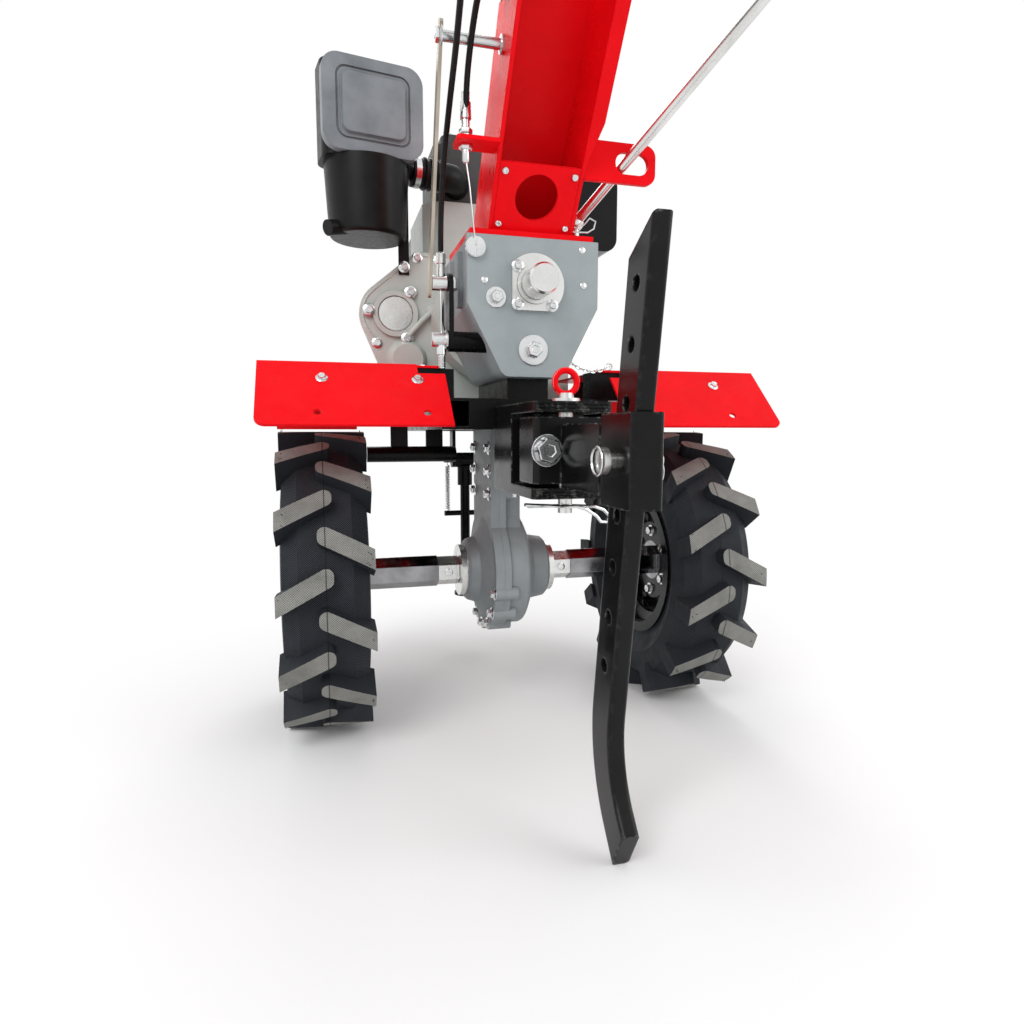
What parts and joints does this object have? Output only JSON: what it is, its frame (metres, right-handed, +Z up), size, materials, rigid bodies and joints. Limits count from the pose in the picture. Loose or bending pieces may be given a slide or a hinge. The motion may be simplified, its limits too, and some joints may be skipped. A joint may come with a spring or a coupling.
{
  "type": "power weeder",
  "caption": "walk-behind power weeder with lugged tyres, single-cylinder engine, gear final drive, handlebar, rear hitch with drag bar, and prop stand",
  "frame": {"origin": "on the ground, at the middle of the machine's length and width", "axes": "+X operator's right, +Y forward, +Z up"},
  "size_m": [0.672, 1.5709, 1.036],
  "materials": {
    "red_paint": "gloss",
    "black_paint": "satin",
    "grey_casting": "satin",
    "blue_grey_casting": "satin",
    "light_casting": "rough",
    "bright_steel": "brushed",
    "black_plastic": "satin",
    "grip_rubber": "matte",
    "tyre_rubber": "matte"
  },
  "bodies": {
    "chassis": {"air_cleaner": "black_plastic", "air_cleaner_lid": "black_plastic", "air_guide": "light_casting", "bearing_caps": "bright_steel", "blower_shroud": "black_paint", "cable_left": "black_plastic", "cable_right": "black_plastic", "cable_tab": "red_paint", "clutch_bell": "light_casting", "clutch_lever": "black_paint", "column": "red_paint", "column_closer": "red_paint", "cover_blank": "bright_steel", "crankcase": "light_casting", "cylinder": "grey_casting", "cylinder_head": "light_casting", "engine_bed": "black_paint", "fender_left": "red_paint", "fender_right": "red_paint", "fender_stay_left": "black_paint", "fender_stay_right": "black_paint", "final_drive_case": "grey_casting", "final_drive_cover": "grey_casting", "front_bumper": "black_paint", "fuel_tank": "red_paint", "gear_cover": "light_casting", "gearbox_case": "blue_grey_casting", "gearbox_cover": "blue_grey_casting", "grip_left": "grip_rubber", "grip_right": "grip_rubber", "handle_frame": "black_paint", "hitch_pin": "bright_steel", "hitch_seat": "black_paint", "intake_elbow": "black_plastic", "lever_left": "black_paint", "lever_right": "black_paint", "muffler": "black_paint", "pto_flange": "bright_steel", "recoil_starter": "black_paint", "shift_guide": "red_paint", "shift_rod": "bright_steel", "tank_cap": "black_plastic"},
    "axle": {"cross_shaft": "bright_steel", "hub_left": "black_paint", "hub_right": "black_paint", "rim_left": "black_paint", "rim_right": "black_paint", "tyre_left": "tyre_rubber", "tyre_right": "tyre_rubber"},
    "pto": {"pto_shaft": "bright_steel"},
    "draw": {"drawbar": "black_paint", "drag_bar": "black_paint", "drag_pin": "bright_steel"},
    "stand": {"stand_leg": "black_paint", "stand_springs": "bright_steel"}
  },
  "joints": [
    {"name": "axle_spin", "type": "hinge", "parent": "chassis", "child": "axle", "pos_m": [0, 0.255, 0.207], "axis": [1, 0, 0], "continuous": true},
    {"name": "pto_spin", "type": "hinge", "parent": "chassis", "child": "pto", "pos_m": [0, 0.098, 0.597], "axis": [0, 1, 0], "continuous": true},
    {"name": "hitch_swing", "type": "hinge", "parent": "chassis", "child": "draw", "pos_m": [0, -0.023, 0.393], "axis": [0, 0, 1], "range_deg": [-15, 15]},
    {"name": "stand_fold", "type": "hinge", "parent": "chassis", "child": "stand", "pos_m": [0, 0.545, 0.362], "axis": [1, 0, 0], "range_deg": [0, 85]}
  ]
}
